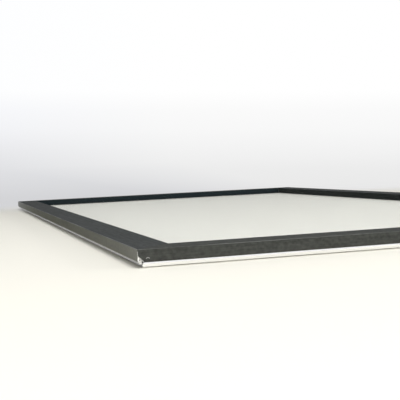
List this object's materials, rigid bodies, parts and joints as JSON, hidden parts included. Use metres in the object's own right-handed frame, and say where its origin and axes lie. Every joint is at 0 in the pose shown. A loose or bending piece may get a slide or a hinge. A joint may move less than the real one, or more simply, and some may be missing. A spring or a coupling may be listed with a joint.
{
  "type": "snap frame",
  "caption": "Slim mitred poster frame whose side rails hinge outwards and snap shut over a sheet under a clear cover",
  "frame": {"origin": "centre of the frame's footprint, on the plane of the base rails' feet", "axes": "+Z out of the front of the display, +Y along the long side, +X along the short side"},
  "size_m": [0.43, 0.83, 0.0112],
  "materials": {
    "bare_aluminium": "bare mill finish, satin",
    "dark_cover": "dark graphite anodised, satin, fine lines along the rail",
    "spring_steel": "blued spring steel",
    "zinc_key": "zinc plated, dull",
    "dark_screw": "black oxide",
    "white_panel": "plain matte warm white",
    "clear_sheet": "clear, anti-glare"
  },
  "bodies": {
    "frame": {"base_rail_front": "bare_aluminium", "base_rail_back": "bare_aluminium", "base_rail_left": "bare_aluminium", "base_rail_right": "bare_aluminium", "leaf_springs_front": "spring_steel", "leaf_springs_back": "spring_steel", "leaf_springs_left": "spring_steel", "leaf_springs_right": "spring_steel", "corner_key_front_left": "zinc_key", "corner_key_front_right": "zinc_key", "corner_key_back_left": "zinc_key", "corner_key_back_right": "zinc_key", "key_screws_front_left": "dark_screw", "key_screws_front_right": "dark_screw", "key_screws_back_left": "dark_screw", "key_screws_back_right": "dark_screw", "back_panel": "white_panel", "clear_sheet": "clear_sheet"},
    "front_cover": {"cover_rail_front": "dark_cover"},
    "back_cover": {"cover_rail_back": "dark_cover"},
    "left_cover": {"cover_rail_left": "dark_cover"},
    "right_cover": {"cover_rail_right": "dark_cover"}
  },
  "joints": [
    {"name": "front_cover_hinge", "type": "hinge", "parent": "frame", "child": "front_cover", "pos_m": [0, -0.4136, 0.0047], "axis": [1, 0, 0], "range_deg": [0, 80], "deforming": ["leaf_springs_front"]},
    {"name": "back_cover_hinge", "type": "hinge", "parent": "frame", "child": "back_cover", "pos_m": [0, 0.4136, 0.0047], "axis": [-1, 0, 0], "range_deg": [0, 80], "deforming": ["leaf_springs_back"]},
    {"name": "left_cover_hinge", "type": "hinge", "parent": "frame", "child": "left_cover", "pos_m": [-0.2136, 0, 0.0047], "axis": [0, -1, 0], "range_deg": [0, 80], "deforming": ["leaf_springs_left"]},
    {"name": "right_cover_hinge", "type": "hinge", "parent": "frame", "child": "right_cover", "pos_m": [0.2136, 0, 0.0047], "axis": [0, 1, 0], "range_deg": [0, 80], "deforming": ["leaf_springs_right"]}
  ]
}
